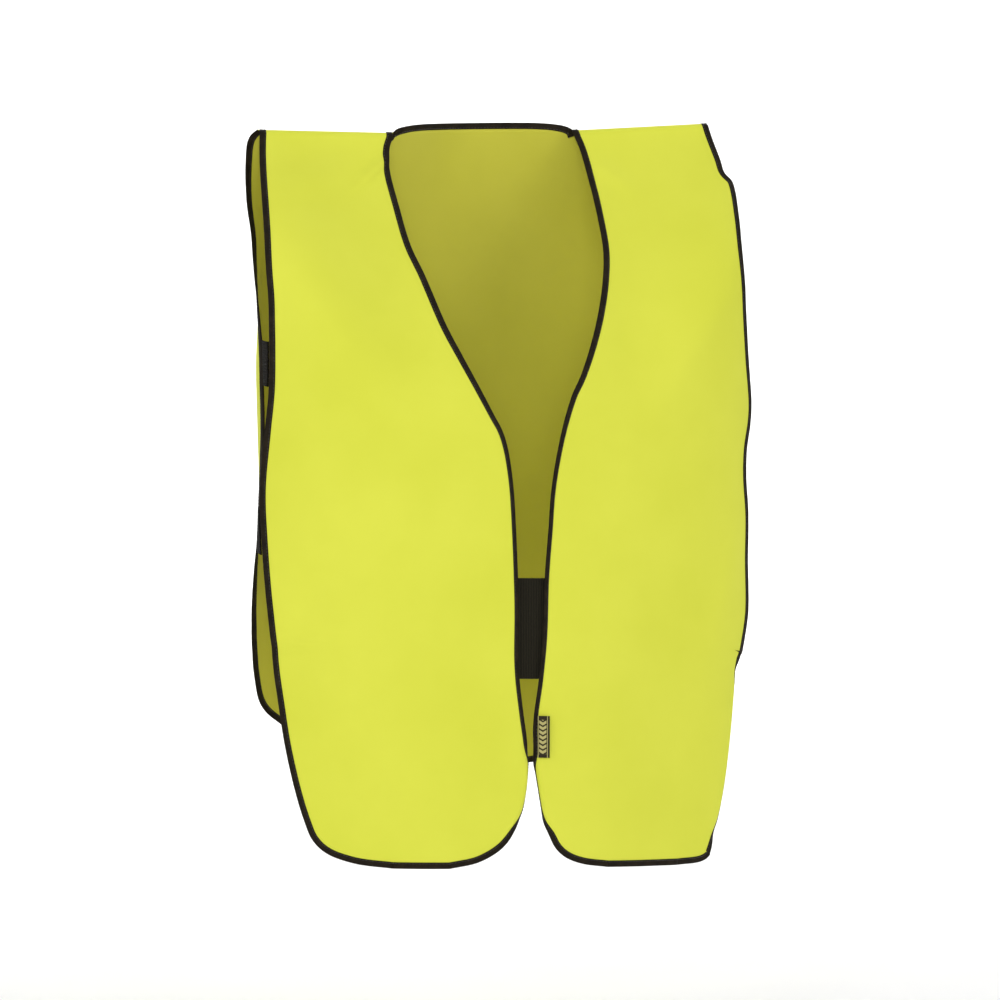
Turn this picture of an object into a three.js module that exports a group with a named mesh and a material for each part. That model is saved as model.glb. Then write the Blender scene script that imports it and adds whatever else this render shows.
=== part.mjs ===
// Sleeveless open-front high-visibility vest in its worn shape, as loose pieces of cloth and tape.
// Millimetres, +Z up, +X to the wearer's left, +Y to the wearer's back.
// The origin is the middle of the shoulder line. "right" and "left" are the wearer's.
import * as THREE from 'three';

const { degToRad, radToDeg, lerp, smoothstep } = THREE.MathUtils;

// ---------------------------------------------------------------- driving dimensions
const FRONT_LENGTH = 671; // shoulder line to front hem
const BACK_LENGTH = 603; // shoulder line to the lowest point of the back hem
const CHEST_DEPTH = 114; // half axes of the torso ellipse that the fronts lie on
const CHEST_HALF_WIDTH = 266;
const HEM_HALF_WIDTH = 253; // the ellipse narrows from the waist to here
const WAIST = { from: 440, to: 510 };
const BACK_DEPTH = 85; // depth of the flatter ellipse that the back lies on
const FRONT_SHOULDER_Y = 12; // the fronts and the back meet the shoulder seam from both sides
const BACK_SHOULDER_Y = 18;
const BACK_SHOULDER_FALL = 170; // height in which the back leaves the shoulder line
const NECK_HALF_WIDTH = 95;
const BACK_NECK_BULGE = 38; // how far the back neck stands behind the shoulder line
const BACK_NECK_RISE = 2;
const BACK_NECK_BINDING_END = 92.5;
const BACK_NECK_CUT_END = 96.6; // where the panel steps up beside the neck binding's end
const SHOULDER_SEAM_END = 206; // half length from the neck side to the shoulder tip
const SHOULDER_SEAM_START = 100;
const SHOULDER_SEAM_THICKNESS = 3.6;
const SHOULDER_SEAM_HEIGHT = 9;
const CLOTH_THICKNESS = 1.6;
const BINDING_WIDTH = 7;
const BINDING_THICKNESS = 2.8;
const CLEARANCE = 1; // air between neighbouring pieces
const BACK_HEM_INSET = 10.6; // measured straight up from the curved back hem
const HEM_END_GAP = 2;
const BACK_HEM_END_GAP = 0.5; // degrees

const CLOSURE = { top: -406, bottom: -498 };
const HOOK_STRIP = { from: -44, to: -23, inner: -2.6, outer: -1.2 };
const LOOP_STRIP = { from: -44, to: 30, inner: -4.3, outer: -3.0 };
const LABEL = { from: 4, to: 15, top: -531, bottom: -569, inner: 1.8, outer: 2.4 };

const STRAP_THICKNESS = 1.5;
const STRAP_END_GAP = 3;
const STRAPS = { upper: { top: -195, bottom: -235 }, lower: { top: -345, bottom: -385 } };

const OUTLINE_STEPS = 2;
const FRONT_ROWS = 48;
const FRONT_COLUMNS = 8;
const BACK_ROWS = 48;
const BACK_NECK_COLUMNS = 4; // each side of the middle
const BACK_SHOULDER_COLUMNS = 6;
const BACK_HEM_STEPS = 9; // each side of the middle

// ---------------------------------------------------------------- outlines
// Half outlines as [distance from the middle, z]. The back's distance is an angle in degrees.
// The vest hangs unevenly on its wearer, so each front has its own lines.
const FRONT_EDGE = {
  right: [[92, 0], [94.5, -16], [96.5, -38], [94, -68], [90.5, -103], [83.5, -128], [71.5, -175],
    [61, -202], [49, -229], [36, -256.5], [28.5, -271], [23.5, -287], [18.5, -318], [15.5, -360],
    [13, -430], [13, -488], [8.5, -530], [4.5, -558], [3.3, -576], [5, -600], [11, -625.5],
    [17, -637.5], [24.5, -647.5], [34, -655.5], [52, -664.5], [78, -671]],
  left: [[90.5, 0], [92, -22], [94.5, -52], [95, -80], [93.5, -110], [87.5, -135], [77.5, -163],
    [64.5, -193], [49, -224], [40, -239], [31, -262], [25, -285], [18, -325], [15, -362],
    [11.5, -405], [9.5, -460], [5.5, -500], [1.2, -530.5], [0.3, -550], [3.2, -573.5], [7.5, -598.5],
    [12.5, -625], [16.5, -638], [22, -651], [32, -660], [48, -666.5], [74, -671]],
};
const SIDE_EDGE = {
  right: [[215, 0], [222, -41], [226.5, -76], [230, -122], [229, -165], [229, -235], [232, -274],
    [236, -330], [235, -375], [231, -441], [226, -483], [221, -525], [216, -564], [208, -605],
    [201, -631], [194, -649], [183, -660], [160, -668], [128, -671]],
  left: [[221, 0], [226, -32], [233, -60], [232.5, -84], [229, -120], [229.5, -155],
    [234, -210], [239.5, -256], [238, -273], [233, -297], [232, -318], [235.5, -355], [235, -395],
    [236, -438], [231, -473], [224, -510], [218, -552], [211, -592], [200, -634], [191, -659],
    [186, -666.5], [176, -670], [150, -671]],
};
const BACK_SIDE_EDGE = [[64.5, 0], [67.8, -5], [69.8, -12], [70.6, -30], [70.5, -65], [70.3, -90],
  [72, -106], [76, -123], [81.5, -140], [89.5, -170], [96, -200], [97.5, -240], [96.5, -285],
  [90.5, -335], [80.8, -394], [72, -427], [64.2, -459], [59, -486], [56.5, -510], [53.5, -537],
  [50.5, -548], [45, -560]];
const BACK_HALF_WIDTH = [[240, 0], [239, -50], [236, -78], [230, -106], [222, -140], [220, -170],
  [222, -215], [221, -280], [220, -335], [223, -394], [231, -428], [242, -460], [252, -490],
  [257, -540], [258, -640]];

const SIDES = { right: -1, left: 1 };

// A smooth line through the points, with the same number of steps between each two of them.
function smoothLine(points, steps = OUTLINE_STEPS) {
  const vectors = points.map(([u, z]) => new THREE.Vector3(u, z, 0));
  const curve = new THREE.CatmullRomCurve3(vectors, false, 'centripetal');
  return curve.getPoints(steps * (points.length - 1)).map((p) => [p.x, p.y]);
}

// The line's distance from the middle at height z, for a line that only goes down.
function distanceAt(line, z) {
  const next = line.findIndex(([, lineZ]) => lineZ <= z);
  if (next === 0) return line[0][0];
  if (next < 0) return line[line.length - 1][0];
  const [[u0, z0], [u1, z1]] = [line[next - 1], line[next]];
  return lerp(u0, u1, (z - z0) / (z1 - z0));
}

// Row heights as shares of a panel's length, closest together at its two ends.
function rowShare(row, rows) {
  return (1 - Math.cos((Math.PI * row) / rows)) / 2;
}

// ---------------------------------------------------------------- torso surfaces
// The front falls from the shoulder to the chest faster at the side than at the neck.
const NECK_FALL = { height: 280, x: 95 };
const SIDE_FALL = { height: 155, x: 235 };
const FALL_POWER = 0.75; // below 1 the fall starts sooner

function frontPoint(x, z) {
  const halfWidth = lerp(CHEST_HALF_WIDTH, HEM_HALF_WIDTH, smoothstep(-z, WAIST.from, WAIST.to));
  const chestY = -CHEST_DEPTH * Math.sqrt(Math.max(0, 1 - (x / halfWidth) ** 2));
  const reach = lerp(NECK_FALL.height, SIDE_FALL.height, smoothstep(Math.abs(x), NECK_FALL.x, SIDE_FALL.x));
  const fall = smoothstep((Math.max(0, -z) / reach) ** FALL_POWER, 0, 1);
  return new THREE.Vector3(x, lerp(FRONT_SHOULDER_Y, chestY, fall), z);
}

const backHalfWidthLine = smoothLine(BACK_HALF_WIDTH, 12);

function backPoint(angle, z) {
  const turn = degToRad(angle);
  const x = distanceAt(backHalfWidthLine, z) * Math.sin(turn);
  const neckShare = Math.min(1, Math.abs(x) / NECK_HALF_WIDTH);
  const topY = BACK_SHOULDER_Y + BACK_NECK_BULGE * Math.cos((neckShare * Math.PI) / 2) ** 2;
  const fall = Math.min(1, Math.max(0, -z / BACK_SHOULDER_FALL));
  return new THREE.Vector3(x, lerp(topY, BACK_DEPTH * Math.cos(turn), 1 - (1 - fall) ** 2), z);
}

// A point of a surface with its outward normal and its two slopes.
function sample(surface, u, z) {
  const point = surface(u, z);
  const alongU = surface(u + 0.5, z).sub(surface(u - 0.5, z));
  const alongZ = surface(u, z + 0.5).sub(surface(u, z - 0.5));
  const normal = alongU.clone().cross(alongZ).normalize();
  const outward = surface === backPoint ? -1 : 1;
  return { point, normal: normal.multiplyScalar(outward), alongU, alongZ };
}

// ---------------------------------------------------------------- solids
// A closed plate between two offsets from a grid of surface samples.
function plate(grid, inner, outer) {
  const rows = grid.length;
  const columns = grid[0].length;
  const positions = [];
  for (const offset of [outer, inner]) {
    for (const { point, normal } of grid.flat()) {
      positions.push(...point.clone().addScaledVector(normal, offset).toArray());
    }
  }
  const id = (layer, [r, c]) => (layer * rows + r) * columns + c;
  const faces = [];
  const quad = (a, b, c, d) => faces.push(a, b, d, b, c, d);
  for (let r = 0; r < rows - 1; r += 1) {
    for (let c = 0; c < columns - 1; c += 1) {
      const corners = [[r, c], [r, c + 1], [r + 1, c + 1], [r + 1, c]];
      quad(...corners.map((corner) => id(0, corner)));
      quad(...corners.reverse().map((corner) => id(1, corner)));
    }
  }
  const rim = [];
  for (let c = 0; c < columns - 1; c += 1) rim.push([0, c]);
  for (let r = 0; r < rows - 1; r += 1) rim.push([r, columns - 1]);
  for (let c = columns - 1; c > 0; c -= 1) rim.push([rows - 1, c]);
  for (let r = rows - 1; r > 0; r -= 1) rim.push([r, 0]);
  rim.forEach((corner, i) => {
    const following = rim[(i + 1) % rim.length];
    quad(id(0, following), id(0, corner), id(1, corner), id(1, following));
  });
  const geometry = new THREE.BufferGeometry();
  geometry.setAttribute('position', new THREE.Float32BufferAttribute(positions, 3));
  geometry.setIndex(signedVolume(positions, faces) < 0 ? faces.reverse() : faces);
  return geometry;
}

function signedVolume(positions, faces) {
  const corner = (i) => new THREE.Vector3().fromArray(positions, 3 * faces[i]);
  let volume = 0;
  for (let i = 0; i < faces.length; i += 3) volume += corner(i).dot(corner(i + 1).cross(corner(i + 2)));
  return volume / 6;
}

// Samples along a line on a surface, each with the direction square to the line and towards `inside`.
function edgeFrames(surface, line, inside) {
  const frames = line.map((place, i) => {
    const before = surface(...line[Math.max(0, i - 1)]);
    const after = surface(...line[Math.min(line.length - 1, i + 1)]);
    const here = sample(surface, ...place);
    return { ...here, inward: after.sub(before).cross(here.normal).normalize() };
  });
  const middle = frames[Math.floor(frames.length / 2)];
  const outwards = middle.inward.dot(inside.clone().sub(middle.point)) < 0;
  if (outwards) frames.forEach(({ inward }) => inward.negate());
  return frames;
}

// The same line moved inward over the surface by a distance in millimetres.
function insetLine(surface, line, distance, inside) {
  return edgeFrames(surface, line, inside).map(({ inward, alongU, alongZ }, i) => {
    const [uu, uz, zz] = [alongU.dot(alongU), alongU.dot(alongZ), alongZ.dot(alongZ)];
    const [pu, pz] = [distance * inward.dot(alongU), distance * inward.dot(alongZ)];
    const scale = uu * zz - uz * uz;
    return [line[i][0] + (pu * zz - pz * uz) / scale, line[i][1] + (pz * uu - pu * uz) / scale];
  });
}

function bindingGeometry(surface, line, inside) {
  const grid = edgeFrames(surface, line, inside).map(({ point, normal, inward }) => {
    const innerEdge = point.clone().addScaledVector(inward, BINDING_WIDTH);
    return [{ point, normal }, { point: innerEdge, normal }];
  });
  return plate(grid, -BINDING_THICKNESS / 2, BINDING_THICKNESS / 2);
}

function patchGeometry(surface, patch, top, bottom, columns, rows) {
  const grid = [];
  for (let r = 0; r <= rows; r += 1) {
    const z = lerp(top, bottom, r / rows);
    const row = [];
    for (let c = 0; c <= columns; c += 1) row.push(sample(surface, lerp(patch.from, patch.to, c / columns), z));
    grid.push(row);
  }
  return plate(grid, patch.inner, patch.outer);
}

// ---------------------------------------------------------------- materials and scene graph
const cloth = { color: 0xdbe04a, roughness: 0.85, metalness: 0 };
const tape = { color: 0x28231a, roughness: 0.75, metalness: 0 };
const hookAndLoop = { color: 0x29251a, roughness: 0.95, metalness: 0 };
const elastic = { color: 0x1c1a16, roughness: 0.8, metalness: 0 };
const woven = { color: 0x17150f, roughness: 0.7, metalness: 0 };

const vest = new THREE.Group();

function addPiece(name, geometry, finish) {
  const piece = new THREE.Mesh(geometry, new THREE.MeshStandardMaterial(finish));
  piece.name = name;
  vest.add(piece);
  return piece;
}

const PANEL_INSET = BINDING_WIDTH + CLEARANCE;

// ---------------------------------------------------------------- fronts
function buildFront(side) {
  const sign = SIDES[side];
  const outline = (points) => smoothLine(points.map(([x, z]) => [sign * x, z]));
  const edgeLine = outline(FRONT_EDGE[side]);
  const sideLine = outline(SIDE_EDGE[side]);
  const hemFrom = edgeLine[edgeLine.length - 1][0];
  const hemTo = sideLine[sideLine.length - 1][0];
  const hem = [[hemFrom + sign * HEM_END_GAP, -FRONT_LENGTH], [hemTo - sign * HEM_END_GAP, -FRONT_LENGTH]];
  const inside = frontPoint(sign * 130, -330);

  addPiece(`front_panel_${side}`, frontPanelGeometry(edgeLine, sideLine, inside), cloth);
  addPiece(`front_edge_binding_${side}`, bindingGeometry(frontPoint, edgeLine, inside), tape);
  addPiece(`front_side_binding_${side}`, bindingGeometry(frontPoint, sideLine, inside), tape);
  addPiece(`front_hem_binding_${side}`, bindingGeometry(frontPoint, smoothLine(hem, 5), inside), tape);
}

function frontPanelGeometry(edgeLine, sideLine, inside) {
  const innerEdge = insetLine(frontPoint, edgeLine, PANEL_INSET, inside);
  const innerSide = insetLine(frontPoint, sideLine, PANEL_INSET, inside);
  const grid = [];
  for (let r = 0; r <= FRONT_ROWS; r += 1) {
    const z = -(FRONT_LENGTH - PANEL_INSET) * rowShare(r, FRONT_ROWS);
    const [from, to] = [distanceAt(innerEdge, z), distanceAt(innerSide, z)];
    const row = [];
    for (let c = 0; c <= FRONT_COLUMNS; c += 1) row.push(sample(frontPoint, lerp(from, to, c / FRONT_COLUMNS), z));
    grid.push(row);
  }
  return plate(grid, -CLOTH_THICKNESS / 2, CLOTH_THICKNESS / 2);
}

// ---------------------------------------------------------------- back
const backSideLine = smoothLine(BACK_SIDE_EDGE);
const [backCornerAngle, backCornerZ] = backSideLine[backSideLine.length - 1];
const backMiddle = backPoint(0, -300);

// The angle of a distance from the middle on the back's shoulder line.
function topAngle(x) {
  return radToDeg(Math.asin(x / BACK_HALF_WIDTH[0][0]));
}

// The hem is a shallow curve between the two rounded corners.
function backHemZ(angle) {
  return lerp(-BACK_LENGTH, backCornerZ, (angle / backCornerAngle) ** 2);
}

function backPanelGeometry() {
  const innerSide = insetLine(backPoint, backSideLine, PANEL_INSET, backMiddle);
  const cornerZ = backCornerZ + BACK_HEM_INSET;
  const neckAngle = topAngle(BACK_NECK_CUT_END);
  const grid = [];
  for (let r = 0; r <= BACK_ROWS; r += 1) {
    const share = rowShare(r, BACK_ROWS);
    const sideAngle = r === BACK_ROWS ? backCornerAngle : distanceAt(innerSide, cornerZ * share);
    const angles = [];
    for (let c = 0; c < BACK_NECK_COLUMNS; c += 1) angles.push((neckAngle * c) / BACK_NECK_COLUMNS);
    for (let c = 0; c <= BACK_SHOULDER_COLUMNS; c += 1) {
      angles.push(lerp(neckAngle, sideAngle, c / BACK_SHOULDER_COLUMNS));
    }
    const mirrored = angles.slice(1).reverse().map((angle) => -angle);
    grid.push([...mirrored, ...angles].map((angle) => {
      const neckDrop = Math.abs(angle) <= neckAngle ? PANEL_INSET - BACK_NECK_RISE : 0;
      const bottom = Math.min(cornerZ, backHemZ(angle) + BACK_HEM_INSET);
      return sample(backPoint, angle, lerp(-neckDrop, bottom, share));
    }));
  }
  return plate(grid, -CLOTH_THICKNESS / 2, CLOTH_THICKNESS / 2);
}

function buildBack() {
  addPiece('back_panel', backPanelGeometry(), cloth);

  const end = topAngle(BACK_NECK_BINDING_END);
  const neck = smoothLine([[-end, 0], [-end / 2, BACK_NECK_RISE], [end / 2, BACK_NECK_RISE], [end, 0]], 5);
  addPiece('back_neck_binding', bindingGeometry(backPoint, neck, backMiddle), tape);

  for (const [side, sign] of Object.entries(SIDES)) {
    const line = backSideLine.map(([angle, z]) => [sign * angle, z]);
    addPiece(`back_side_binding_${side}`, bindingGeometry(backPoint, line, backMiddle), tape);
  }

  const hem = [];
  for (let c = -BACK_HEM_STEPS; c <= BACK_HEM_STEPS; c += 1) {
    const angle = ((backCornerAngle - BACK_HEM_END_GAP) * c) / BACK_HEM_STEPS;
    hem.push([angle, backHemZ(angle)]);
  }
  addPiece('back_hem_binding', bindingGeometry(backPoint, hem, backMiddle), tape);
}

// ---------------------------------------------------------------- shoulder seams
function buildShoulderSeam(side) {
  const length = SHOULDER_SEAM_END - SHOULDER_SEAM_START;
  const box = new THREE.BoxGeometry(length, SHOULDER_SEAM_THICKNESS, SHOULDER_SEAM_HEIGHT);
  const seam = addPiece(`shoulder_seam_${side}`, box, cloth);
  const middleX = (SHOULDER_SEAM_START + SHOULDER_SEAM_END) / 2;
  const middleY = (FRONT_SHOULDER_Y + BACK_SHOULDER_Y) / 2;
  seam.position.set(SIDES[side] * middleX, middleY, -SHOULDER_SEAM_HEIGHT / 2);
}

// ---------------------------------------------------------------- elastic side straps
// Each strap runs straight from the front's side edge to the back's, at one height.
function strapGeometry(side, { top, bottom }) {
  const sign = SIDES[side];
  const frontLine = smoothLine(SIDE_EDGE[side]);
  const grid = [top, (top + bottom) / 2, bottom].map((z) => {
    const front = frontPoint(sign * distanceAt(frontLine, z), z);
    const back = backPoint(sign * distanceAt(backSideLine, z), z);
    const along = back.clone().sub(front).normalize();
    front.addScaledVector(along, STRAP_END_GAP);
    back.addScaledVector(along, -STRAP_END_GAP);
    const normal = new THREE.Vector3(along.y, -along.x, 0).normalize();
    return [front, back].map((point) => ({ point, normal }));
  });
  return plate(grid, -STRAP_THICKNESS / 2, STRAP_THICKNESS / 2);
}

// ---------------------------------------------------------------- closure and label
function buildClosureAndLabel() {
  const { top, bottom } = CLOSURE;
  addPiece('closure_hook_strip', patchGeometry(frontPoint, HOOK_STRIP, top, bottom, 2, 3), hookAndLoop);
  addPiece('closure_loop_strip', patchGeometry(frontPoint, LOOP_STRIP, top, bottom, 6, 3), hookAndLoop);
  addPiece('woven_label', patchGeometry(frontPoint, LABEL, LABEL.top, LABEL.bottom, 2, 2), woven);
}

buildBack();
for (const side of Object.keys(SIDES)) {
  buildFront(side);
  buildShoulderSeam(side);
  for (const [level, heights] of Object.entries(STRAPS)) {
    addPiece(`side_strap_${level}_${side}`, strapGeometry(side, heights), elastic);
  }
}
buildClosureAndLabel();

export default vest;
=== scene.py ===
import math

import bmesh
import bpy
import numpy as np
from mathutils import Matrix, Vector


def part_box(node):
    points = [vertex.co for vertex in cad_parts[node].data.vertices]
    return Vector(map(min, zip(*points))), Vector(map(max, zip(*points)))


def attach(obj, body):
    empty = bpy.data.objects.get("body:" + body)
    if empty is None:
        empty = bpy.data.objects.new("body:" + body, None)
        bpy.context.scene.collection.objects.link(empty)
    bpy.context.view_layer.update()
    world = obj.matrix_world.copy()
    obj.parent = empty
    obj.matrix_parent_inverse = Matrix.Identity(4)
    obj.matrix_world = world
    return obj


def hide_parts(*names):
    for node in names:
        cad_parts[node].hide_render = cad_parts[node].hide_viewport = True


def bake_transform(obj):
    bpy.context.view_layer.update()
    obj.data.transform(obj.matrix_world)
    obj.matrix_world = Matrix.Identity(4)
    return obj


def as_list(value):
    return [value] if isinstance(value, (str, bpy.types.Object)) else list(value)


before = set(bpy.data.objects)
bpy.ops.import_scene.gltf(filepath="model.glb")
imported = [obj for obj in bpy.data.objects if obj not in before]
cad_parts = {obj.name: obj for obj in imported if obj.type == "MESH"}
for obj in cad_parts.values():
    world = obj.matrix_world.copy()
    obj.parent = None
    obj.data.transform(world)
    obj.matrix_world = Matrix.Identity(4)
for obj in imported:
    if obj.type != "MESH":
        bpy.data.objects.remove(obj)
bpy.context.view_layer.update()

# ------------------------------------------------------------------ dimensions, in millimetres
MM = 0.001
CHEST_HALF_WIDTH, HEM_HALF_WIDTH, CHEST_DEPTH = 266, 253, 114
CHEST_END, HEM_START = 440, 510  # depths below the shoulder between which the chest narrows to the hem
BACK_DEPTH = 85
FRONT_SHOULDER_Y, BACK_SHOULDER_Y = 12, 18
SHOULDER_SEAM_Y = 15
SHOULDER_ROLL = 4  # height of the rounded crest where front and back meet at the seam
NECK_HALF_WIDTH, ARMHOLE_HALF_WIDTH = 95, 235
NECK_FALL, ARMHOLE_FALL, BACK_FALL = 280, 155, 170  # how far down the torso is at its full depth
FALL_POWER = 0.75  # below 1, the cloth leaves the shoulder more steeply
BACK_NECK_BULGE = 38
BACK_LENGTH = 603
CLOTH_THICKNESS, ALLOWANCE_THICKNESS, LABEL_THICKNESS = 0.5, 0.45, 0.6
WEBBING_THICKNESS, HOOK_THICKNESS, LOOP_THICKNESS = 1.3, 1.4, 1.3
SEAM_TOP = 1.2  # how far under the seam the pressed allowances begin
BINDING_WIDTH, BINDING_HALF_THICKNESS = 6, 0.9
NARROW_BINDING = 4  # where the tape on a front edge rolls over, beside the slit between the fronts
EDGE_TUCK = 0.8  # how far a raw edge stays inside its binding's fold
STITCH_PITCH, STITCH_LENGTH, STITCH_RADIUS = 3.0, 2.3, 0.27
STITCH_SHARE = 0.81  # where a binding's stitches lie, as a share of its width

SIDES = {"right": -1, "left": 1}

# Half outlines as (distance from the middle, z). The back's distance is an angle in degrees.
# The vest hangs unevenly on its wearer, so each front has its own lines.
FRONT_EDGE = {
    "right": [(89, 0), (89.8, -5), (94, -15), (96.5, -30), (94, -68), (90.5, -103), (83.5, -128),
              (71.5, -175), (61, -202), (49, -229), (36, -256.5), (28.5, -271), (23.5, -287),
              (18.5, -318), (15.5, -360), (13, -430), (13, -488), (8.5, -530), (4.5, -558), (3.3, -576),
              (5, -600), (11, -625.5), (17, -637.5), (24.5, -647.5), (34, -655.5), (52, -664.5),
              (78, -670)],
    "left": [(86, 0), (87, -5), (91, -18), (94.5, -52), (95, -80), (93.5, -110), (87.5, -135), (77.5, -163),
             (64.5, -193), (49, -224), (40, -239), (31, -262), (25, -285), (18, -325), (15, -362),
             (11.5, -405), (9.5, -460), (5.5, -500), (1.2, -530.5), (0.3, -550), (3.2, -573.5), (7.5, -598.5),
             (12.5, -625), (16.5, -638), (22, -651), (32, -660), (48, -666), (74, -669.5)],
}
SIDE_EDGE = {
    "right": [(215, 0), (222, -41), (226.5, -76), (230, -122), (229, -165), (229, -235), (232, -274),
              (236, -330), (235, -375), (231, -441), (226, -483), (221, -525), (216, -564), (208, -605),
              (201, -631), (194, -649), (183, -660), (160, -668), (128, -671)],
    "left": [(221, 0), (226.5, -34), (227.5, -46), (233.5, -54), (234.5, -64), (232, -89), (229, -118),
             (229.5, -155), (234, -210), (239.5, -256), (238, -273), (233, -295), (232, -318), (235.5, -355),
             (235, -395), (236, -438), (231, -473), (224, -510), (218, -552), (211, -592), (200, -634),
             (191, -659), (187, -665.5), (178, -669.5), (150, -671)],
}
BACK_SIDE_EDGE = [(64.5, 0), (67.8, -5), (69.8, -12), (70.6, -30), (70.5, -65), (70.3, -90), (72, -106),
                  (76, -123), (81.5, -140), (89.5, -170), (96, -200), (97.5, -240), (96.5, -285),
                  (90.5, -335), (80.8, -394), (72, -427), (64.2, -459), (59, -486), (56.5, -510),
                  (53.5, -537), (50.5, -548), (45, -560)]
BACK_HALF_WIDTH = [(240, 0), (239, -50), (236, -78), (230, -106), (222, -140), (220, -170), (222, -215),
                   (221, -280), (220, -335), (223, -394), (231, -428), (242, -460), (252, -490),
                   (257, -540), (258, -640)]
# The first point continues the neck line behind the front.
BACK_NECK = [(91, -5), (88, 0), (83, 3.4), (75, 5.5), (60, 7.3), (30, 8.3), (0, 8.5)]

# Where an edge curls back out of sight: the turn in degrees, and the heights in which it grows and fades.
CURL_LENGTH = 10
CURLS = {
    ("right", "edge"): (150, -545, -590, -600, -652),
    ("left", "edge"): (150, -550, -592, -610, -656),
    ("left", "side"): (150, -480, -520, -615, -664),
}

# Soft folds of the fronts: the middle (x, z), the direction in degrees, then length, width and height.
FOLDS = [
    ((-112, -34), 38, 26, 5, 4.2),
    ((-168, -42), 25, 30, 13, 3.0),
    ((118, -42), 140, 26, 9, 1.8),
    ((-203, -470), 12, 26, 7, 3.6),
    ((-196, -432), 60, 34, 14, -3.2),
    ((205, -420), 75, 60, 16, 1.6),
]


# ------------------------------------------------------------------ lines and ramps
def smooth_line(points, steps=12):
    """A centripetal Catmull-Rom line through the points."""
    p = np.array(points, float)
    p = np.vstack([2 * p[0] - p[1], p, 2 * p[-1] - p[-2]])
    out = []
    for i in range(1, len(p) - 2):
        q = p[i - 1:i + 3]
        knot = np.concatenate([[0], np.cumsum(np.sqrt(np.linalg.norm(np.diff(q, axis=0), axis=1)))])
        t = np.linspace(knot[1], knot[2], steps, endpoint=False)[:, None]

        def mix(a, b, start, end):
            return a * (end - t) / (end - start) + b * (t - start) / (end - start)

        first = [mix(q[k], q[k + 1], knot[k], knot[k + 1]) for k in range(3)]
        second = [mix(first[k], first[k + 1], knot[k], knot[k + 2]) for k in range(2)]
        out.append(mix(second[0], second[1], knot[1], knot[2]))
    return np.vstack(out + [p[-2:-1]])


def smoothstep(value, low, high):
    t = np.clip((value - low) / (high - low), 0, 1)
    return t * t * (3 - 2 * t)


def lerp(a, b, t):
    return a + (b - a) * t


def distance_at(line, z):
    """The line's distance from the middle at height z, for a line that only goes down."""
    return np.interp(-np.asarray(z, float), -line[:, 1], line[:, 0])


# ------------------------------------------------------------------ the worn surfaces
def hang(x, z):
    """How the vest sits on its wearer: the neck dips, and one hem corner hangs lower."""
    shoulder = -7 + 0.018 * x + 0.035 * np.maximum(np.abs(x) - NECK_HALF_WIDTH, 0)
    hem = -0.045 * x
    return lerp(shoulder, hem, smoothstep(-z, 0, 600))


def ridge(x, z, middle, along, length, width, height):
    """A soft straight fold through a point, along a direction, that fades out at both ends."""
    dx, dz = x - middle[0], z - middle[1]
    turn = math.radians(along)
    run = dx * math.cos(turn) + dz * math.sin(turn)
    off = -dx * math.sin(turn) + dz * math.cos(turn)
    return height * np.exp(-((run / length) ** 2) - (off / width) ** 2)


def front_relief(x, z):
    """Soft folds and waves, as millimetres that the cloth stands out from the smooth torso."""
    low = smoothstep(-z, 150, 620)
    waves = 1.6 * low * np.sin(x / 27 + 1.3 + z / 260)
    waves += 0.8 * np.sin(x / 43 - z / 71) * smoothstep(-z, 20, 160)
    return waves + sum(ridge(x, z, *fold) for fold in FOLDS)


def shoulder_crest(y, z, share=1.0):
    """Draws a surface in to the seam over a rounded crest at its top."""
    crest = np.sqrt(1 - (1 - np.clip(-z / SHOULDER_ROLL, 0, 1)) ** 2)
    return SHOULDER_SEAM_Y + (y - SHOULDER_SEAM_Y) * lerp(1, crest, share)


def front_surface(x, z):
    """Points of the worn front, from the distance to the middle and the height below the shoulder."""
    x, z = np.asarray(x, float), np.asarray(z, float)
    half_width = lerp(CHEST_HALF_WIDTH, HEM_HALF_WIDTH, smoothstep(-z, CHEST_END, HEM_START))
    chest = -CHEST_DEPTH * np.sqrt(np.maximum(0, 1 - (x / half_width) ** 2))
    fall = lerp(NECK_FALL, ARMHOLE_FALL, smoothstep(np.abs(x), NECK_HALF_WIDTH, ARMHOLE_HALF_WIDTH))
    y = lerp(FRONT_SHOULDER_Y, chest, smoothstep((np.maximum(0, -z) / fall) ** FALL_POWER, 0, 1))
    return np.stack([x, shoulder_crest(y, z) - front_relief(x, z), z + hang(x, z)], axis=-1)


def curl_turn(key, z):
    """How far an edge has curled back at height z, in radians."""
    if key not in CURLS:
        return 0 * z
    turn, grow, full, fading, gone = CURLS[key]
    return math.radians(turn) * smoothstep(-z, -grow, -full) * (1 - smoothstep(-z, -fading, -gone))


def curled_front(side):
    """The surface of one front, whose outermost stretch rolls back where CURLS says so."""
    sign = SIDES[side]
    lines = {part: front_line(side, part) for part in ("edge", "side")}

    def surface(x, z):
        x, z = np.broadcast_arrays(np.asarray(x, float), np.asarray(z, float))
        points = front_surface(x, z)
        for part, towards in (("edge", -sign), ("side", sign)):
            turn = curl_turn((side, part), z)
            start = distance_at(lines[part], z) - towards * CURL_LENGTH
            past = np.maximum(0, (x - start) * towards)
            base = front_surface(start, z)
            along = unit(front_surface(start + towards, z) - base)
            up = front_surface(start, z + 0.5) - front_surface(start, z - 0.5)
            outward = unit(np.cross(up, along)) * towards
            outward *= -np.sign(outward[..., 1:2])
            rate = np.maximum(turn, 1e-4)[..., None] / CURL_LENGTH
            run = past[..., None]
            rolled = base + along * np.sin(rate * run) / rate - outward * (1 - np.cos(rate * run)) / rate
            points = np.where((past > 0)[..., None] & (turn > 1e-3)[..., None], rolled, points)
        return points

    return surface


BACK_WIDTH_LINE = smooth_line(BACK_HALF_WIDTH)


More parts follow.
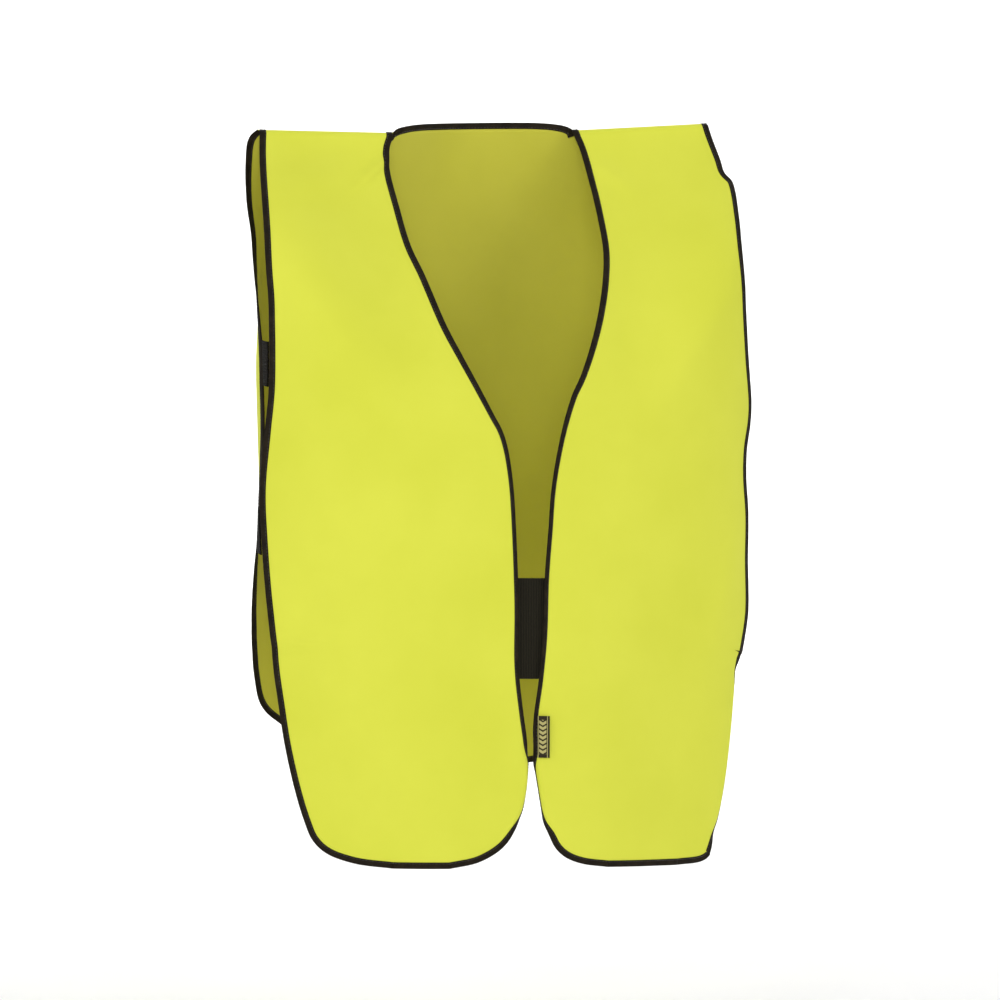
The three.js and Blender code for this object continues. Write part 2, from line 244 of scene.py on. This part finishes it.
def back_surface(angle, z):
    """Points of the worn back, from the angle round the torso and the height below the shoulder."""
    angle, z = np.asarray(angle, float), np.asarray(z, float)
    turn = np.radians(angle)
    x = distance_at(BACK_WIDTH_LINE, z) * np.sin(turn)
    neck_share = np.minimum(1, np.abs(x) / NECK_HALF_WIDTH)
    top = BACK_SHOULDER_Y + BACK_NECK_BULGE * np.cos(neck_share * math.pi / 2) ** 2
    fall = np.clip(-z / BACK_FALL, 0, 1)
    y = lerp(top, BACK_DEPTH * np.cos(turn), 1 - (1 - fall) ** 2)
    y = shoulder_crest(y, z, smoothstep(np.abs(x), 80, 92))
    waves = 1.5 * smoothstep(-z, 80, 560) * np.sin(x / 31 + z / 300)
    waves += 0.9 * np.sin(x / 52 + z / 83) * smoothstep(-z, 20, 160)
    return np.stack([x, y + waves, z + hang(x, z)], axis=-1)


def unit(vectors):
    return vectors / np.linalg.norm(vectors, axis=-1, keepdims=True)


def surface_frame(surface, u, z):
    """Points of a surface, their outward normals and the two slopes."""
    along_u = surface(u + 0.5, z) - surface(u - 0.5, z)
    along_z = surface(u, z + 0.5) - surface(u, z - 0.5)
    outward = -1 if surface is back_surface else 1
    return surface(u, z), unit(np.cross(along_u, along_z)) * outward, along_u, along_z


def front_line(side, part):
    """A front's outline on the flat cloth, wider than the visible one where the cloth curls back."""
    sign = SIDES[side]
    line = smooth_line({"edge": FRONT_EDGE, "side": SIDE_EDGE}[part][side])
    turn = np.maximum(curl_turn((side, part), line[:, 1]), 1e-4)
    hidden = CURL_LENGTH * (1 - np.sin(np.minimum(turn, math.pi / 2)) / turn)
    line[:, 0] += hidden * {"edge": -1, "side": 1}[part]
    return line * np.array([sign, 1])


# ------------------------------------------------------------------ mesh building
def mesh_object(name, points, faces, weave=None):
    """A smooth mesh object from points in millimetres. weave holds each point's place on the flat cloth."""
    mesh = bpy.data.meshes.new(name)
    mesh.from_pydata((np.asarray(points) * MM).tolist(), [], faces)
    mesh.shade_smooth()
    if weave is not None:
        attribute = mesh.attributes.new("weave", "FLOAT_VECTOR", "POINT")
        flat = np.zeros((len(points), 3), np.float32)
        flat[:, :weave.shape[1]] = weave * MM
        attribute.data.foreach_set("vector", flat.ravel())
    obj = bpy.data.objects.new(name, mesh)
    bpy.context.collection.objects.link(obj)
    return obj


def grid_faces(rows, columns):
    corners = [r * columns + c for r in range(rows - 1) for c in range(columns - 1)]
    return [(i, i + 1, i + columns + 1, i + columns) for i in corners]


def cloth_sheet(name, points, thickness=CLOTH_THICKNESS):
    """A cloth piece from a grid of points (rows, columns, 3), as a thin closed shell.

    Its weave attribute holds the place on the flat cloth, and 1 on the face towards the wearer.
    """
    rows, columns = points.shape[:2]
    across = np.linalg.norm(np.diff(points, axis=1), axis=2).cumsum(axis=1)
    across = np.hstack([np.zeros((rows, 1)), across])
    across -= across[:, -1:] / 2
    down = np.linalg.norm(np.diff(points, axis=0), axis=2).cumsum(axis=0)
    down = np.vstack([np.zeros((1, columns)), down])
    normals = unit(np.cross(np.gradient(points, axis=1), np.gradient(points, axis=0)))
    if np.mean((normals * points)[..., :2]) < 0:
        normals = -normals
    layers, weave = [], []
    for towards_wearer in (0, 1):
        layers.append((points + normals * thickness * (0.5 - towards_wearer)).reshape(-1, 3))
        flat = np.stack([across, down, np.full(across.shape, towards_wearer / MM)], axis=-1)
        weave.append(flat.reshape(-1, 3))
    count = rows * columns
    outer = grid_faces(rows, columns)
    faces = outer + [tuple(i + count for i in reversed(face)) for face in outer]
    rim = list(range(columns - 1))
    rim += [r * columns + columns - 1 for r in range(rows - 1)]
    rim += [(rows - 1) * columns + c for c in range(columns - 1, 0, -1)]
    rim += [r * columns for r in range(rows - 1, 0, -1)]
    for a, b in zip(rim, rim[1:] + rim[:1]):
        faces.append((b, a, a + count, b + count))
    obj = mesh_object(name, np.vstack(layers), faces, np.vstack(weave))
    make_outward(obj)
    return obj


def make_outward(obj):
    """Turns all faces of a closed mesh outwards."""
    shape = bmesh.new()
    shape.from_mesh(obj.data)
    bmesh.ops.recalc_face_normals(shape, faces=shape.faces)
    shape.to_mesh(obj.data)
    shape.free()


def row_share(count):
    """Row heights as shares of a panel's length, closest together at its two ends."""
    return (1 - np.cos(np.pi * np.linspace(0, 1, count))) / 2


def dress(obj, material, slot, *nodes):
    """Gives a piece its material, and takes the place of the CAD nodes it stands for. The slot argument is
    not used.
    """
    obj.data.materials.append(material)
    if nodes:
        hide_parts(*nodes)


# ------------------------------------------------------------------ paths over a surface
def even_path(surface, line, step):
    """The same line over the surface, as (u, z) points at even steps of about step millimetres."""
    points = surface(line[:, 0], line[:, 1])
    run = np.concatenate([[0], np.cumsum(np.linalg.norm(np.diff(points, axis=0), axis=1))])
    places = np.linspace(0, run[-1], max(2, round(run[-1] / step)) + 1)
    return np.stack([np.interp(places, run, line[:, k]) for k in (0, 1)], axis=1), places


def path_frames(surface, path, inside):
    """For each point of a path: its outward normal and the step in (u, z) that goes 1 mm into the cloth."""
    points, normals, along_u, along_z = surface_frame(surface, path[:, 0], path[:, 1])
    inward = unit(np.cross(np.gradient(points, axis=0), normals))
    middle = len(path) // 2
    if np.dot(inward[middle], inside - points[middle]) < 0:
        inward = -inward
    slopes = np.stack([along_u, along_z], axis=-1)
    steps = np.stack([np.linalg.lstsq(slope, way, rcond=None)[0] for slope, way in zip(slopes, inward)])
    return normals, steps


def offset_path(surface, path, steps, distance, height):
    """The path moved into the cloth along its surface, then off the surface."""
    place = path + steps * distance
    points, normals, _, _ = surface_frame(surface, place[:, 0], place[:, 1])
    return points + normals * np.reshape(height, (-1, 1)), normals


# Half of the folded tape's section: (share of its width in from the fold, height off the cloth's middle).
FOLD = [(0, 0), (0.015, 0.45), (0.06, 0.8), (0.14, 0.95), (0.31, 0.98), (0.57, 0.92), (0.74, 0.86),
        (0.88, 0.88), (0.97, 0.8), (1.0, 0.55), (0.997, 0.3)]


def tape_width(surface, path):
    """The tape's visible width along a path, in millimetres."""
    if surface is back_surface:
        return np.full(len(path), BINDING_WIDTH)
    x, down = np.abs(path[:, 0]), -path[:, 1]
    beside_slit = smoothstep(down, 150, 330) * (1 - smoothstep(down, 600, 655)) * (x < 150)
    return lerp(BINDING_WIDTH, NARROW_BINDING, beside_slit)


def folded_tape(name, surface, line, inside):
    """Binding tape folded over the edge of the cloth, along a line on its surface."""
    path, run = even_path(surface, line, 2.5)
    _, steps = path_frames(surface, path, inside)
    profile = FOLD + [(a, -b) for a, b in reversed(FOLD[1:])]
    ease = BINDING_HALF_THICKNESS * (1 + 0.05 * np.sin(run / 5.3) + 0.04 * np.sin(run / 2.1 + 1))
    width = tape_width(surface, path)[:, None]
    lines = [offset_path(surface, path, steps, a * width, b * ease)[0] for a, b in profile]
    verts = np.stack(lines, axis=1)
    count, sides = verts.shape[:2]
    faces = []
    for i in range(count - 1):
        for k in range(sides):
            a, b = i * sides + k, i * sides + (k + 1) % sides
            faces.append((a, b, b + sides, a + sides))
    faces += [tuple(reversed(range(sides))), tuple(range((count - 1) * sides, count * sides))]
    around = BINDING_WIDTH * np.array([a if b >= 0 else -a for a, b in profile])
    weave = np.stack([np.repeat(run, sides), np.tile(around, count)], axis=1)
    return mesh_object(name, verts.reshape(-1, 3), faces, weave)


# ------------------------------------------------------------------ stitches
def stitch_template():
    """One lockstitch along X: a short thread whose ends dip into the cloth."""
    sides = 5
    turns = np.linspace(0, 2 * np.pi, sides, endpoint=False)
    verts, faces = [], []
    for share, radius, dip in ((-0.5, 0.4, -0.22), (-0.3, 1, 0), (0.3, 1, 0), (0.5, 0.4, -0.22)):
        for turn in turns:
            verts.append((share * STITCH_LENGTH, radius * STITCH_RADIUS * math.cos(turn),
                          radius * STITCH_RADIUS * math.sin(turn) + dip))
    for ring in range(3):
        for k in range(sides):
            a, b = ring * sides + k, ring * sides + (k + 1) % sides
            faces.append((a, b, b + sides, a + sides))
    faces += [tuple(reversed(range(sides))), tuple(range(3 * sides, 4 * sides))]
    return np.array(verts), faces


STITCH_POINTS, STITCH_FACES = stitch_template()


def stitch_row(name, rows):
    """One object of stitches. rows holds (points, tangents, normals) of evenly spaced stitches."""
    verts, faces, base = [], [], 0
    for points, tangents, normals in rows:
        sideways = np.cross(normals, tangents)
        for p, t, s, n in zip(points, tangents, sideways, normals):
            verts.append(p + STITCH_POINTS @ np.array([t, s, n]))
            faces += [tuple(base + i for i in face) for face in STITCH_FACES]
            base += len(STITCH_POINTS)
    return mesh_object(name, np.vstack(verts), faces)


def stitches_beside(surface, line, inside, share, height, faces=(1, -1)):
    """Stitch places along a line, at a share of the tape's width and raised off the cloth on each face."""
    path, _ = even_path(surface, line, STITCH_PITCH)
    _, steps = path_frames(surface, path, inside)
    distance = share * tape_width(surface, path)[:, None]
    rows = []
    for face in faces:
        points, normals = offset_path(surface, path, steps, distance, height * face)
        rows.append((points, unit(np.gradient(points, axis=0)), normals * face))
    return rows


def bound_edge(name, surface, line, inside, node):
    """A binding and the row of stitches that holds it."""
    tape = folded_tape(name, surface, line, inside)
    dress(tape, TAPE, "binding_tape", node)
    rows = stitches_beside(surface, line, inside, STITCH_SHARE, BINDING_HALF_THICKNESS * 0.9)
    thread = stitch_row(f"{name}_stitches", rows)
    dress(thread, DARK_THREAD, "binding_tape")
    return [tape, thread]


# ------------------------------------------------------------------ materials
class Nodes:
    """Short calls for building one material's node tree."""

    def __init__(self, name):
        self.material = bpy.data.materials.new(name)
        self.material.use_nodes = True
        self.tree = self.material.node_tree
        self.shader = self.tree.nodes["Principled BSDF"]

    def add(self, kind, **values):
        node = self.tree.nodes.new(kind)
        for key, value in values.items():
            if key in node.inputs:
                node.inputs[key].default_value = value
            else:
                setattr(node, key, value)
        return node

    def link(self, out, into):
        self.tree.links.new(out, into)

    def math(self, operation, a, b=None):
        node = self.add("ShaderNodeMath", operation=operation)
        for slot, value in zip(node.inputs, (a, b)):
            if isinstance(value, (int, float)):
                slot.default_value = value
            elif value is not None:
                self.link(value, slot)
        return node.outputs[0]

    def ramp(self, fac, stops):
        node = self.add("ShaderNodeValToRGB")
        while len(node.color_ramp.elements) < len(stops):
            node.color_ramp.elements.new(0.5)
        for element, (place, color) in zip(node.color_ramp.elements, stops):
            element.position = place
            element.color = (*color, 1)
        self.link(fac, node.inputs["Fac"])
        return node.outputs["Color"]

    def weave_axes(self):
        """The piece's own flat coordinates in metres, and 1 on its face towards the wearer."""
        attribute = self.add("ShaderNodeAttribute", attribute_name="weave")
        split = self.add("ShaderNodeSeparateXYZ")
        self.link(attribute.outputs["Vector"], split.inputs[0])
        return attribute.outputs["Vector"], *split.outputs

    def mix(self, fac, a, b):
        node = self.add("ShaderNodeMixRGB")
        for slot, value in zip(node.inputs, (fac, a, b)):
            self.link(value, slot)
        return node.outputs[0]

    def threads(self, axis, pitch):
        """A row of rounded threads across an axis, as heights from 0 to 1."""
        wave = self.math("SINE", self.math("MULTIPLY", axis, 2 * math.pi / pitch))
        return self.math("MULTIPLY_ADD", wave, 0.5)

    def noise(self, vector, scale, detail=3.0, roughness=0.5):
        node = self.add("ShaderNodeTexNoise", Scale=scale, Detail=detail, Roughness=roughness)
        self.link(vector, node.inputs["Vector"])
        return node.outputs["Fac"]

    def object_place(self):
        return self.add("ShaderNodeTexCoord").outputs["Object"]

    def bump(self, height, strength, distance):
        node = self.add("ShaderNodeBump", Strength=strength, Distance=distance)
        self.link(height, node.inputs["Height"])
        self.link(node.outputs["Normal"], self.shader.inputs["Normal"])

    def set(self, **values):
        for key, value in values.items():
            self.shader.inputs[key.replace("_", " ")].default_value = value


def cloth_material():
    """Fluorescent cloth, with painted shade: the face towards the wearer gets a darker, browner copy of its
    colour.
    """
    n = Nodes("fluorescent_cloth")
    vector, across, down, inner = n.weave_axes()
    patchy = n.noise(n.object_place(), 9, detail=4)
    outer_color = n.ramp(patchy, [(0.3, (0.70, 0.735, 0.056)), (0.7, (0.75, 0.78, 0.070))])
    # painted shade: a darker, browner copy of the cloth colour on the face towards the wearer stands in for
    # the shade inside the vest
    inner_shade_color = n.ramp(patchy, [(0.3, (0.58, 0.56, 0.052)), (0.7, (0.62, 0.595, 0.062))])
    n.link(n.mix(inner, outer_color, inner_shade_color), n.shader.inputs["Base Color"])
    weft = n.threads(across, 0.0009)
    warp = n.threads(down, 0.0009)
    slub = n.noise(vector, 900, detail=2)
    height = n.math("ADD", n.math("MULTIPLY", weft, warp), n.math("MULTIPLY", slub, 0.7))
    n.bump(height, 0.16, 0.00025)
    n.set(Roughness=0.75, Sheen_Weight=0.12, Sheen_Roughness=0.45, Specular_IOR_Level=0.25)
    return n.material


def tape_material():
    n = Nodes("binding_tape")
    vector, along, around, _ = n.weave_axes()
    worn = n.noise(vector, 120, detail=4)
    stops = [(0.35, (0.009, 0.006, 0.0028)), (0.75, (0.022, 0.015, 0.0065))]
    n.link(n.ramp(worn, stops), n.shader.inputs["Base Color"])
    ribs = n.threads(along, 0.0008)
    twill = n.threads(n.math("ADD", along, around), 0.0011)
    fuzz = n.noise(vector, 1400, detail=2)
    height = n.math("ADD", n.math("MULTIPLY", ribs, twill), n.math("MULTIPLY", fuzz, 0.5))
    n.bump(height, 0.35, 0.00025)
    n.set(Roughness=0.65, Sheen_Weight=0.04, Sheen_Roughness=0.4, Specular_IOR_Level=0.12)
    return n.material


def webbing_material():
    n = Nodes("elastic_webbing")
    _, across, down, _ = n.weave_axes()
    cords = n.threads(down, 0.0021)
    picks = n.threads(across, 0.0009)
    shade = n.math("MULTIPLY", cords, n.math("MULTIPLY_ADD", picks, 0.4))
    stops = [(0.0, (0.0035, 0.003, 0.002)), (0.8, (0.010, 0.0085, 0.005))]
    n.link(n.ramp(cords, stops), n.shader.inputs["Base Color"])
    n.bump(n.math("ADD", shade, cords), 0.6, 0.0004)
    n.set(Roughness=0.8, Specular_IOR_Level=0.03)
    return n.material


def loop_material():
    n = Nodes("loop_tape")
    vector, across, _, _ = n.weave_axes()
    fuzz = n.noise(vector, 1600, detail=5, roughness=0.7)
    columns = n.threads(across, 0.0024)
    pile = n.math("ADD", n.math("MULTIPLY", fuzz, 1.2), n.math("MULTIPLY", columns, 0.5))
    stops = [(0.3, (0.007, 0.006, 0.0028)), (0.6, (0.014, 0.012, 0.0055)), (0.95, (0.026, 0.022, 0.010))]
    n.link(n.ramp(n.math("MULTIPLY", pile, 0.62), stops), n.shader.inputs["Base Color"])
    n.bump(pile, 0.8, 0.0006)
    n.set(Roughness=0.95, Sheen_Weight=0.08, Sheen_Roughness=0.6, Specular_IOR_Level=0.1)
    return n.material


def hook_material():
    n = Nodes("hook_tape")
    _, across, down, _ = n.weave_axes()
    hooks = n.math("MULTIPLY", n.threads(across, 0.0013), n.threads(down, 0.0015))
    stops = [(0.1, (0.005, 0.0045, 0.004)), (0.7, (0.030, 0.027, 0.022))]
    n.link(n.ramp(hooks, stops), n.shader.inputs["Base Color"])
    n.bump(hooks, 0.9, 0.0008)
    n.set(Roughness=0.5)
    return n.material


def label_material(height):
    """A woven label: dark satin ground, pale border lines and a row of slanted pale blocks."""
    n = Nodes("label_weave")
    _, across, down, _ = n.weave_axes()
    edge = n.math("ABSOLUTE", n.math("ADD", across, 0.0008))
    border = n.math("MULTIPLY", n.math("GREATER_THAN", edge, 0.0040), n.math("LESS_THAN", edge, 0.0046))
    slanted = n.math("ADD", down, n.math("MULTIPLY", edge, 0.6))
    repeat = n.math("FRACT", n.math("MULTIPLY", slanted, 1 / 0.0043))
    blocks = n.math("MULTIPLY", n.math("GREATER_THAN", repeat, 0.38), n.math("LESS_THAN", edge, 0.0033))
    middle = n.math("ABSOLUTE", n.math("SUBTRACT", down, height * MM / 2))
    inside = n.math("LESS_THAN", middle, height * MM / 2 - 0.0035)
    pale = n.math("MAXIMUM", border, n.math("MULTIPLY", blocks, inside))
    stops = [(0.1, (0.024, 0.017, 0.005)), (0.9, (0.50, 0.45, 0.17))]
    n.link(n.ramp(pale, stops), n.shader.inputs["Base Color"])
    fine = n.math("MULTIPLY", n.threads(across, 0.0005), n.threads(down, 0.0004))
    n.bump(n.math("ADD", fine, n.math("MULTIPLY", pale, 0.8)), 0.4, 0.0002)
    n.set(Roughness=0.55, Sheen_Weight=0.05, Specular_IOR_Level=0.2)
    return n.material


def thread_material(name, color):
    n = Nodes(name)
    twist = n.noise(n.object_place(), 4200, detail=1)
    light = tuple(min(1, c * 1.25) for c in color)
    n.link(n.ramp(twist, [(0.35, color), (0.65, light)]), n.shader.inputs["Base Color"])
    n.set(Roughness=0.5, Sheen_Weight=0.3)
    return n.material


CLOTH = cloth_material()
TAPE = tape_material()
WEBBING = webbing_material()
LOOP = loop_material()
HOOK = hook_material()
DARK_THREAD = thread_material("dark_thread", (0.010, 0.009, 0.007))
BRIGHT_THREAD = thread_material("bright_thread", (0.60, 0.66, 0.05))


# ------------------------------------------------------------------ fronts
def blend_front(pieces):
    """Bakes each piece's transform into its mesh."""
    for piece in pieces:
        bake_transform(piece)


def front_panel(side, surface):
    edge, side_edge = front_line(side, "edge"), front_line(side, "side")
    z = -row_share(240) * (-edge[-1, 1] - EDGE_TUCK)
    sign = SIDES[side]
    start = distance_at(edge, z) + sign * EDGE_TUCK
    end = distance_at(side_edge, z) - sign * EDGE_TUCK
    x = lerp(start[:, None], end[:, None], row_share(96)[None, :])
    panel = cloth_sheet(f"front_cloth_{side}", surface(x, z[:, None]))
    dress(panel, CLOTH, "panel_cloth", f"front_panel_{side}")
    return panel


def build_front(side):
    surface = curled_front(side)
    edge, side_edge = front_line(side, "edge"), front_line(side, "side")
    hem = np.linspace(edge[-1], side_edge[-1], 20)
    inside = front_surface(SIDES[side] * 130, -330)
    pieces = [front_panel(side, surface)]
    for part, line in (("edge", edge), ("side", side_edge), ("hem", hem)):
        name = f"front_{part}_tape_{side}"
        pieces += bound_edge(name, surface, line, inside, f"front_{part}_binding_{side}")
    blend_front(pieces)
    return pieces


# ------------------------------------------------------------------ back
BACK_EDGE = smooth_line(BACK_SIDE_EDGE)
BACK_CORNER_ANGLE, BACK_CORNER_Z = BACK_EDGE[-1]


def back_hem_z(angle):
    return lerp(-BACK_LENGTH, BACK_CORNER_Z, (angle / BACK_CORNER_ANGLE) ** 2)


def top_angle(x):
    """The angle of a distance from the middle on the back's shoulder line."""
    return np.degrees(np.arcsin(np.asarray(x, float) / BACK_HALF_WIDTH[0][0]))


def back_panel():
    share = row_share(200)[:, None]
    side_angle = distance_at(BACK_EDGE, (BACK_CORNER_Z + EDGE_TUCK) * share) - 0.3
    side_angle[-1] = BACK_CORNER_ANGLE
    angle = side_angle * np.linspace(-1, 1, 150)[None, :]
    neck = smooth_line(BACK_NECK[1:])[::-1]
    top = np.interp(np.abs(angle), top_angle(neck[:, 0]), neck[:, 1] - EDGE_TUCK * (neck[:, 1] > 1))
    bottom = np.minimum(BACK_CORNER_Z, back_hem_z(angle)) + EDGE_TUCK
    z = lerp(top, bottom, share)
    panel = cloth_sheet("back_cloth", back_surface(angle, z))
    dress(panel, CLOTH, "panel_cloth", "back_panel")
    return panel


def build_back():
    inside = back_surface(0, -300)
    pieces = [back_panel()]
    neck = smooth_line([(-x, z) for x, z in BACK_NECK[:-1]] + BACK_NECK[::-1])
    neck[:, 0] = top_angle(neck[:, 0])
    pieces += bound_edge("back_neck_tape", back_surface, neck, inside, "back_neck_binding")
    for side, sign in SIDES.items():
        line = BACK_EDGE * np.array([sign, 1])
        name = f"back_side_tape_{side}"
        pieces += bound_edge(name, back_surface, line, inside, f"back_side_binding_{side}")
    angles = np.linspace(-BACK_CORNER_ANGLE, BACK_CORNER_ANGLE, 60)
    hem = np.stack([angles, back_hem_z(angles)], axis=1)
    pieces += bound_edge("back_hem_tape", back_surface, hem, inside, "back_hem_binding")
    for piece in pieces:
        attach(piece, "back")
    return pieces


# ------------------------------------------------------------------ shoulder seams
def build_shoulder_seam(side):
    """Front and back allowances pressed together under the seam, and a row of topstitching."""
    low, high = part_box(f"shoulder_seam_{side}")
    from_x, to_x = sorted((low.x / MM, high.x / MM), key=abs)
    depth = -low.z / MM
    x = np.linspace(from_x, to_x, 50)
    share = np.linspace(0, 1, 6)[:, None]
    leaves = []
    for name, lean in (("front", -1), ("back", 1)):
        z = -SEAM_TOP - share * (depth - SEAM_TOP)
        y = SHOULDER_SEAM_Y + lean * (0.35 + 0.5 * share ** 2)
        sway = 0.25 * np.sin(x[None, :] / 9 + lean)
        points = np.stack(np.broadcast_arrays(x[None, :], y + sway, z + hang(x, 0 * x)[None, :]), axis=-1)
        leaf = cloth_sheet(f"seam_allowance_{name}_{side}", points, ALLOWANCE_THICKNESS)
        dress(leaf, CLOTH, "panel_cloth", f"shoulder_seam_{side}")
        leaves.append(leaf)
    line = np.stack([top_angle(x), 0 * x - 5], axis=1)
    inside = back_surface(SIDES[side] * 30, -300)
    rows = stitches_beside(back_surface, line, inside, 0, CLOTH_THICKNESS / 2 + 0.1, faces=(1,))
    top = stitch_row(f"shoulder_topstitch_{side}", rows)
    dress(top, BRIGHT_THREAD, "panel_cloth")
    for piece in leaves + [top]:
        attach(piece, "back")


# ------------------------------------------------------------------ elastic side straps
def build_strap(level, side):
    """Ribbed elastic from the front's side binding to the back's, a little bowed by the wearer."""
    node = f"side_strap_{level}_{side}"
    low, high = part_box(node)
    sign = SIDES[side]
    side_edge = front_line(side, "side")
    z = np.linspace(high.z, low.z, 24)[:, None] / MM
    front = front_surface(distance_at(side_edge, z), z)
    back = back_surface(sign * distance_at(BACK_EDGE, z), z)
    share = np.linspace(0.07, 0.93, 18)[None, :, None]
    points = lerp(front.reshape(-1, 1, 3), back.reshape(-1, 1, 3), share)
    points[..., 0] += sign * 1.5 * np.sin(np.pi * share[..., 0])
    points[..., 2] = z
    strap = cloth_sheet(f"elastic_{level}_{side}", points, WEBBING_THICKNESS)
    dress(strap, WEBBING, "elastic_webbing", node)
    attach(strap, "back")


# ------------------------------------------------------------------ closure and label
def patch_points(node, columns, rows, offset):
    """A grid on the front surface over a CAD patch's width and height, raised off the cloth."""
    low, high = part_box(node)
    x = np.linspace(low.x, high.x, columns)[None, :] / MM
    z = np.linspace(high.z, low.z, rows)[:, None] / MM
    points, normals, _, _ = surface_frame(front_surface, *np.broadcast_arrays(x, z))
    return points + normals * offset


def build_closure():
    """The hook strip behind the right front, and the loop strip behind that."""
    hook_points = patch_points("closure_hook_strip", 24, 90, -1.9)
    hook = cloth_sheet("hook_strip", hook_points, HOOK_THICKNESS)
    dress(hook, HOOK, "hook_tape", "closure_hook_strip")
    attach(hook, "front_right")

    loop_points = patch_points("closure_loop_strip", 70, 90, -3.6)
    loop = cloth_sheet("loop_strip", loop_points, LOOP_THICKNESS)
    dress(loop, LOOP, "loop_tape", "closure_loop_strip")
    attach(loop, "closure_tab")


def build_label():
    """The label lies on the left front, and its free side stands off the cloth a little."""
    columns = 24
    points = patch_points("woven_label", columns, 70, 2.1)
    lift = np.linspace(0, 1, columns)[None, :, None] ** 2
    points = points + np.array([0, -1.2, 0]) * lift
    label = cloth_sheet("woven_flag_label", points, LABEL_THICKNESS)
    low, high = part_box("woven_label")
    dress(label, label_material((high.z - low.z) / MM), "label_weave", "woven_label")
    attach(label, "label")


back_pieces = build_back()
for side in SIDES:
    build_shoulder_seam(side)
    front_pieces = build_front(side)
    for level in ("upper", "lower"):
        build_strap(level, side)
    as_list(front_pieces[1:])
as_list(back_pieces[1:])
build_closure()
build_label()


# ------------------------------------------------------------------ stage, lights and camera
def backdrop():
    """A pale floor that curves up into a pale wall, in metres."""
    floor_z, wall_y, radius, steps = -0.86, 5.0, 1.2, 24
    front_y, top_z, half_width = -6.0, 6.0, 9
    curve_y = wall_y - radius
    profile = [(front_y, floor_z), (curve_y, floor_z)]
    for step in range(1, steps + 1):
        turn = math.pi / 2 * step / steps
        profile.append((curve_y + radius * math.sin(turn), floor_z + radius * (1 - math.cos(turn))))
    profile.append((wall_y, top_z))
    points = np.array([(x, y, z) for y, z in profile for x in (-half_width, half_width)]) / MM
    faces = [(2 * i, 2 * i + 1, 2 * i + 3, 2 * i + 2) for i in range(len(profile) - 1)]
    stage = mesh_object("backdrop", points, faces)
    n = Nodes("backdrop")
    grain = n.noise(n.object_place(), 4, detail=3)
    stops = [(0.3, (0.86, 0.86, 0.86)), (0.7, (0.89, 0.89, 0.89))]
    n.link(n.ramp(grain, stops), n.shader.inputs["Base Color"])
    n.set(Roughness=0.9)
    stage.data.materials.append(n.material)


def area_light(name, place, target, size, power):
    """A rectangular light aimed at a target. Places and sizes are in metres, the power in watts."""
    data = bpy.data.lights.new(name, "AREA")
    data.shape = "RECTANGLE"
    data.size, data.size_y = size
    data.energy = power
    light = bpy.data.objects.new(name, data)
    light.location = place
    light.rotation_euler = (Vector(target) - Vector(place)).to_track_quat("-Z", "Y").to_euler()
    bpy.context.collection.objects.link(light)


def camera():
    """A camera a little to the wearer's right and above, 4 m away, that sees 0.92 m at the vest."""
    azimuth, elevation = math.radians(-20), math.radians(4)
    distance, seen_width = 4.0, 0.92
    target = Vector((0.0102, 0, -0.345))
    level = math.cos(elevation)
    away = Vector((math.sin(azimuth) * level, -math.cos(azimuth) * level, math.sin(elevation)))
    data = bpy.data.cameras.new("camera")
    data.sensor_width = 36
    data.lens = data.sensor_width * distance / seen_width
    cam = bpy.data.objects.new("camera", data)
    cam.location = target + away * distance
    cam.rotation_euler = (-away).to_track_quat("-Z", "Y").to_euler()
    bpy.context.collection.objects.link(cam)
    bpy.context.scene.camera = cam


def studio():
    """Soft lights round the vest, two for the backdrop, and a dim white world."""
    chest = (0, 0, -0.35)
    area_light("left", (-2.9, -2.0, 0.7), chest, (1.8, 2.6), 24)
    area_light("right", (2.3, -2.7, 0.7), chest, (1.8, 2.6), 33)
    area_light("front", (-1.3, -3.8, 0.5), chest, (1.4, 1.4), 40)
    area_light("left_edge", (-3.0, -0.7, 0.3), chest, (1.2, 2.0), 8)
    area_light("top", (0, -0.6, 2.4), chest, (2.4, 1.2), 12)
    area_light("wall", (1.2, 3.2, 2.2), (1.4, 4.9, -0.6), (4.4, 1.0), 150)
    area_light("floor", (0.6, 1.5, 1.7), (0.7, 1.7, -0.86), (4.0, 1.0), 52)
    world = bpy.data.worlds.new("world")
    world.use_nodes = True
    background = world.node_tree.nodes["Background"]
    background.inputs["Color"].default_value = (1, 1, 1, 1)
    background.inputs["Strength"].default_value = 0.25
    bpy.context.scene.world = world
    bpy.context.scene.view_settings.view_transform = "Standard"


backdrop()
studio()
camera()
